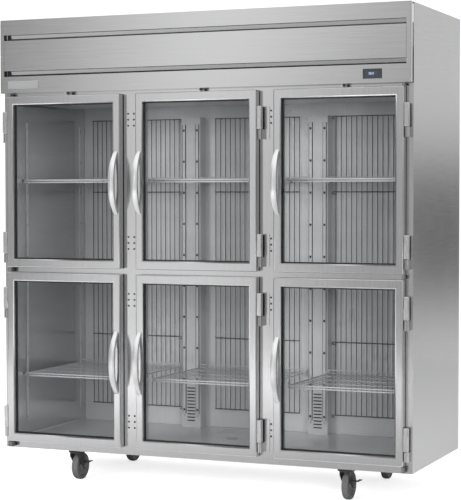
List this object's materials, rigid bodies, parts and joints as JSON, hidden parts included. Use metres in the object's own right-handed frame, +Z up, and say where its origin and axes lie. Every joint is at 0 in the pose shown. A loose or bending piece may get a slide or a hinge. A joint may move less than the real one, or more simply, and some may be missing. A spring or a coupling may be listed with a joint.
{
  "type": "reach in refrigerator",
  "caption": "Upright commercial reach-in refrigerator in brushed steel with half-height glass doors, bow handles, wire shelves and swivel casters.",
  "frame": {"origin": "middle of the bounding box, on the floor under the casters", "axes": "+Z up, the doors face -Y, +X to the right of someone facing the doors"},
  "size_m": [1.9812, 0.8514, 2.1463],
  "materials": {
    "stainless": "brushed stainless sheet with a fine vertical grain",
    "cast_handle": "satin cast metal",
    "liner": "satin aluminium liner sheet",
    "galvanised": "galvanised sheet",
    "glass": "clear sealed glazing",
    "black_plastic": "moulded black plastic",
    "display": "glossy display window",
    "digits": "lit blue-white figures",
    "gasket": "moulded magnetic gasket",
    "shelf_wire": "grey epoxy-coated wire",
    "fins": "bare aluminium fins",
    "copper": "copper tube",
    "compressor_paint": "black stove enamel",
    "caster_paint": "black-painted pressed steel",
    "tread": "dark grey rubber tyre"
  },
  "bodies": {
    "cabinet": {"side_panel_left": "stainless", "side_panel_right": "stainless", "face_frame": "stainless", "header_fascia": "stainless", "louver_panel": "stainless", "rear_panel": "galvanised", "base_frame": "galvanised", "evaporator_housing": "galvanised", "condensing_base": "galvanised", "fan_shroud": "galvanised", "electrical_box": "galvanised", "floor_deck": "liner", "ceiling_deck": "liner", "rear_duct_left": "liner", "rear_duct_right": "liner", "ceiling_plenum": "liner", "temperature_controller": "black_plastic", "evaporator_coil": "fins", "condenser_coil": "fins", "compressor": "compressor_paint"},
    "door_lower_left": {"door_frame_lower_left": "stainless", "door_glass_lower_left": "glass", "door_handle_lower_left": "cast_handle"},
    "door_lower_middle": {"door_frame_lower_middle": "stainless", "door_glass_lower_middle": "glass", "door_handle_lower_middle": "cast_handle"},
    "door_lower_right": {"door_frame_lower_right": "stainless", "door_glass_lower_right": "glass", "door_handle_lower_right": "cast_handle"},
    "door_upper_left": {"door_frame_upper_left": "stainless", "door_glass_upper_left": "glass", "door_handle_upper_left": "cast_handle"},
    "door_upper_middle": {"door_frame_upper_middle": "stainless", "door_glass_upper_middle": "glass", "door_handle_upper_middle": "cast_handle"},
    "door_upper_right": {"door_frame_upper_right": "stainless", "door_glass_upper_right": "glass", "door_handle_upper_right": "cast_handle"},
    "lock_left": {"door_lock_left": "black_plastic"},
    "lock_middle": {"door_lock_middle": "black_plastic"},
    "lock_right": {"door_lock_right": "black_plastic"},
    "caster_front_left_swivel": {"caster_fork_front_left": "caster_paint"},
    "caster_front_left_wheel": {"caster_wheel_front_left": "tread"},
    "caster_front_left_brake": {"caster_brake_front_left": "caster_paint"},
    "caster_front_right_swivel": {"caster_fork_front_right": "caster_paint"},
    "caster_front_right_wheel": {"caster_wheel_front_right": "tread"},
    "caster_front_right_brake": {"caster_brake_front_right": "caster_paint"},
    "caster_rear_left_swivel": {"caster_fork_rear_left": "caster_paint"},
    "caster_rear_left_wheel": {"caster_wheel_rear_left": "tread"},
    "caster_rear_right_swivel": {"caster_fork_rear_right": "caster_paint"},
    "caster_rear_right_wheel": {"caster_wheel_rear_right": "tread"},
    "shelf_lower_left": {"wire_shelf_lower_left": "shelf_wire"},
    "shelf_lower_middle": {"wire_shelf_lower_middle": "shelf_wire"},
    "shelf_lower_right": {"wire_shelf_lower_right": "shelf_wire"},
    "shelf_upper_left": {"wire_shelf_upper_left": "shelf_wire"},
    "shelf_upper_middle": {"wire_shelf_upper_middle": "shelf_wire"},
    "shelf_upper_right": {"wire_shelf_upper_right": "shelf_wire"},
    "condenser_fan_rotor": {"condenser_fan": "black_plastic"},
    "evaporator_fan_left_rotor": {"evaporator_fan_left": "black_plastic"},
    "evaporator_fan_right_rotor": {"evaporator_fan_right": "black_plastic"}
  },
  "joints": [
    {"name": "door_lower_left_hinge", "type": "hinge", "parent": "cabinet", "child": "door_lower_left", "pos_m": [-0.97025, -0.3587, 0.58155], "axis": [0, 0, -1], "range_deg": [0, 120], "stiffness_Nm_per_rad": 1.5, "springref_deg": -8.59},
    {"name": "door_lower_middle_hinge", "type": "hinge", "parent": "cabinet", "child": "door_lower_middle", "pos_m": [0.30475, -0.3587, 0.58155], "axis": [0, 0, 1], "range_deg": [0, 120], "stiffness_Nm_per_rad": 1.5, "springref_deg": -8.59},
    {"name": "door_lower_right_hinge", "type": "hinge", "parent": "cabinet", "child": "door_lower_right", "pos_m": [0.97025, -0.3587, 0.58155], "axis": [0, 0, 1], "range_deg": [0, 120], "stiffness_Nm_per_rad": 1.5, "springref_deg": -8.59},
    {"name": "door_upper_left_hinge", "type": "hinge", "parent": "cabinet", "child": "door_upper_left", "pos_m": [-0.97025, -0.3587, 1.397], "axis": [0, 0, -1], "range_deg": [0, 120], "stiffness_Nm_per_rad": 1.5, "springref_deg": -8.59},
    {"name": "door_upper_middle_hinge", "type": "hinge", "parent": "cabinet", "child": "door_upper_middle", "pos_m": [0.30475, -0.3587, 1.397], "axis": [0, 0, 1], "range_deg": [0, 120], "stiffness_Nm_per_rad": 1.5, "springref_deg": -8.59},
    {"name": "door_upper_right_hinge", "type": "hinge", "parent": "cabinet", "child": "door_upper_right", "pos_m": [0.97025, -0.3587, 1.397], "axis": [0, 0, 1], "range_deg": [0, 120], "stiffness_Nm_per_rad": 1.5, "springref_deg": -8.59},
    {"name": "lock_left_turn", "type": "hinge", "parent": "cabinet", "child": "lock_left", "pos_m": [-0.6365, -0.3577, 1.8024], "axis": [0, 1, 0], "range_deg": [0, 90]},
    {"name": "lock_middle_turn", "type": "hinge", "parent": "cabinet", "child": "lock_middle", "pos_m": [0.029, -0.3577, 1.8024], "axis": [0, 1, 0], "range_deg": [0, 90]},
    {"name": "lock_right_turn", "type": "hinge", "parent": "cabinet", "child": "lock_right", "pos_m": [0.6945, -0.3577, 1.8024], "axis": [0, 1, 0], "range_deg": [0, 90]},
    {"name": "caster_front_left_swivel_turn", "type": "hinge", "parent": "cabinet", "child": "caster_front_left_swivel", "pos_m": [-0.665, -0.2407, 0.14], "axis": [0, 0, 1], "continuous": true},
    {"name": "caster_front_left_wheel_spin", "type": "hinge", "parent": "caster_front_left_swivel", "child": "caster_front_left_wheel", "pos_m": [-0.665, -0.2057, 0.0635], "axis": [1, 0, 0], "continuous": true},
    {"name": "caster_front_left_brake_press", "type": "hinge", "parent": "caster_front_left_swivel", "child": "caster_front_left_brake", "pos_m": [-0.641, -0.2287, 0.102], "axis": [-1, 0, 0], "range_deg": [0, 18]},
    {"name": "caster_front_right_swivel_turn", "type": "hinge", "parent": "cabinet", "child": "caster_front_right_swivel", "pos_m": [0.665, -0.2407, 0.14], "axis": [0, 0, 1], "continuous": true},
    {"name": "caster_front_right_wheel_spin", "type": "hinge", "parent": "caster_front_right_swivel", "child": "caster_front_right_wheel", "pos_m": [0.665, -0.2057, 0.0635], "axis": [1, 0, 0], "continuous": true},
    {"name": "caster_front_right_brake_press", "type": "hinge", "parent": "caster_front_right_swivel", "child": "caster_front_right_brake", "pos_m": [0.689, -0.2287, 0.102], "axis": [-1, 0, 0], "range_deg": [0, 18]},
    {"name": "caster_rear_left_swivel_turn", "type": "hinge", "parent": "cabinet", "child": "caster_rear_left_swivel", "pos_m": [-0.665, 0.3213, 0.14], "axis": [0, 0, 1], "continuous": true},
    {"name": "caster_rear_left_wheel_spin", "type": "hinge", "parent": "caster_rear_left_swivel", "child": "caster_rear_left_wheel", "pos_m": [-0.665, 0.3563, 0.0635], "axis": [1, 0, 0], "continuous": true},
    {"name": "caster_rear_right_swivel_turn", "type": "hinge", "parent": "cabinet", "child": "caster_rear_right_swivel", "pos_m": [0.665, 0.3213, 0.14], "axis": [0, 0, 1], "continuous": true},
    {"name": "caster_rear_right_wheel_spin", "type": "hinge", "parent": "caster_rear_right_swivel", "child": "caster_rear_right_wheel", "pos_m": [0.665, 0.3563, 0.0635], "axis": [1, 0, 0], "continuous": true},
    {"name": "shelf_lower_left_lift", "type": "slide", "parent": "cabinet", "child": "shelf_lower_left", "axis": [0, 0, 1], "range_m": [0, 0.03]},
    {"name": "shelf_lower_middle_lift", "type": "slide", "parent": "cabinet", "child": "shelf_lower_middle", "axis": [0, 0, 1], "range_m": [0, 0.03]},
    {"name": "shelf_lower_right_lift", "type": "slide", "parent": "cabinet", "child": "shelf_lower_right", "axis": [0, 0, 1], "range_m": [0, 0.03]},
    {"name": "shelf_upper_left_lift", "type": "slide", "parent": "cabinet", "child": "shelf_upper_left", "axis": [0, 0, 1], "range_m": [0, 0.03]},
    {"name": "shelf_upper_middle_lift", "type": "slide", "parent": "cabinet", "child": "shelf_upper_middle", "axis": [0, 0, 1], "range_m": [0, 0.03]},
    {"name": "shelf_upper_right_lift", "type": "slide", "parent": "cabinet", "child": "shelf_upper_right", "axis": [0, 0, 1], "range_m": [0, 0.03]},
    {"name": "condenser_fan_spin", "type": "hinge", "parent": "cabinet", "child": "condenser_fan_rotor", "pos_m": [0.58, -0.0987, 1.96], "axis": [0, 1, 0], "continuous": true},
    {"name": "evaporator_fan_left_spin", "type": "hinge", "parent": "cabinet", "child": "evaporator_fan_left_rotor", "pos_m": [-0.18, -0.0307, 1.795], "axis": [0, 0, 1], "continuous": true},
    {"name": "evaporator_fan_right_spin", "type": "hinge", "parent": "cabinet", "child": "evaporator_fan_right_rotor", "pos_m": [0.18, -0.0307, 1.795], "axis": [0, 0, 1], "continuous": true}
  ]
}
